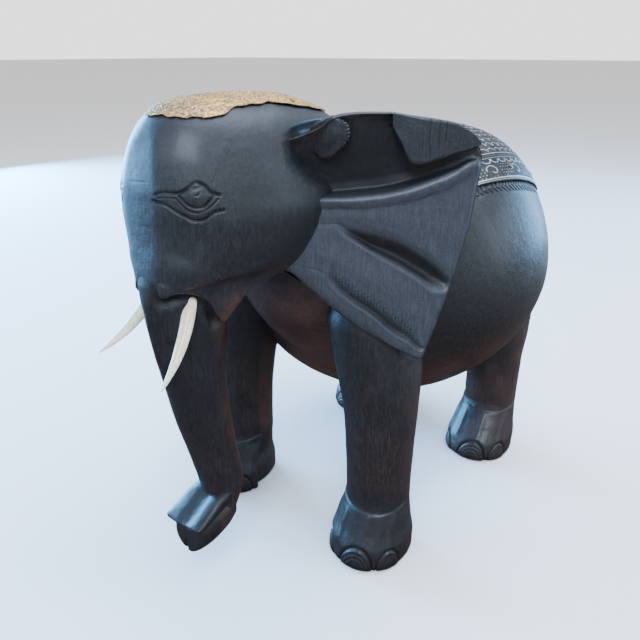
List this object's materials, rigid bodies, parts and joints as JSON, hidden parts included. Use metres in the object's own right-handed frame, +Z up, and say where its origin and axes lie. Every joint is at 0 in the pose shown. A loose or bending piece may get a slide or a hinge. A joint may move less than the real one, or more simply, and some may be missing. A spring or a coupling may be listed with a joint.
{
  "type": "carved wooden elephant figure",
  "caption": "Free-standing carved elephant with spread ears, push-fit tusks, a hammered crown sheet and an embossed saddle sheet.",
  "frame": {"origin": "on the ground under the middle of the object's box", "axes": "+Z up; the elephant faces -Y; its own left side is +X"},
  "size_m": [0.3864, 0.6404, 0.4981],
  "materials": {
    "ebony_wood": "polished black-stained hardwood",
    "tusk_cream": "cream-painted, rubbed along the edges",
    "brass_sheet": "hammered, tarnished brass sheet",
    "pewter_sheet": "dark embossed metal sheet with silvered lines",
    "tack_brass": "round-headed tack",
    "dowel_wood": "plain dowel"
  },
  "bodies": {
    "carving": {"head_and_trunk": "ebony_wood", "body": "ebony_wood", "front_left_leg": "ebony_wood", "front_right_leg": "ebony_wood", "rear_left_leg": "ebony_wood", "rear_right_leg": "ebony_wood", "left_ear_inner_board": "ebony_wood", "left_ear_outer_board": "ebony_wood", "right_ear_inner_board": "ebony_wood", "right_ear_outer_board": "ebony_wood", "tail": "ebony_wood", "crown_sheet": "brass_sheet", "saddle_cloth": "pewter_sheet", "neck_dowel_left": "dowel_wood", "neck_dowel_right": "dowel_wood", "front_left_leg_dowel": "dowel_wood", "front_right_leg_dowel": "dowel_wood", "rear_left_leg_dowel": "dowel_wood", "rear_right_leg_dowel": "dowel_wood", "left_ear_root_dowel": "dowel_wood", "left_ear_seam_dowel": "dowel_wood", "right_ear_root_dowel": "dowel_wood", "right_ear_seam_dowel": "dowel_wood", "tail_dowel": "dowel_wood", "crown_tack_1": "tack_brass", "crown_tack_2": "tack_brass", "crown_tack_3": "tack_brass", "crown_tack_4": "tack_brass", "crown_tack_5": "tack_brass", "crown_tack_6": "tack_brass", "saddle_tack_1": "tack_brass", "saddle_tack_2": "tack_brass", "saddle_tack_3": "tack_brass", "saddle_tack_4": "tack_brass", "saddle_tack_5": "tack_brass", "saddle_tack_6": "tack_brass", "saddle_tack_7": "tack_brass", "saddle_tack_8": "tack_brass"},
    "tusk_left": {"left_tusk": "tusk_cream"},
    "tusk_right": {"right_tusk": "tusk_cream"}
  },
  "joints": [
    {"name": "tusk_left_pull", "type": "slide", "parent": "carving", "child": "tusk_left", "axis": [0.2007, -0.3364, -0.9201], "range_m": [0, 0.025]},
    {"name": "tusk_right_pull", "type": "slide", "parent": "carving", "child": "tusk_right", "axis": [-0.2217, -0.3993, -0.8896], "range_m": [0, 0.025]}
  ]
}
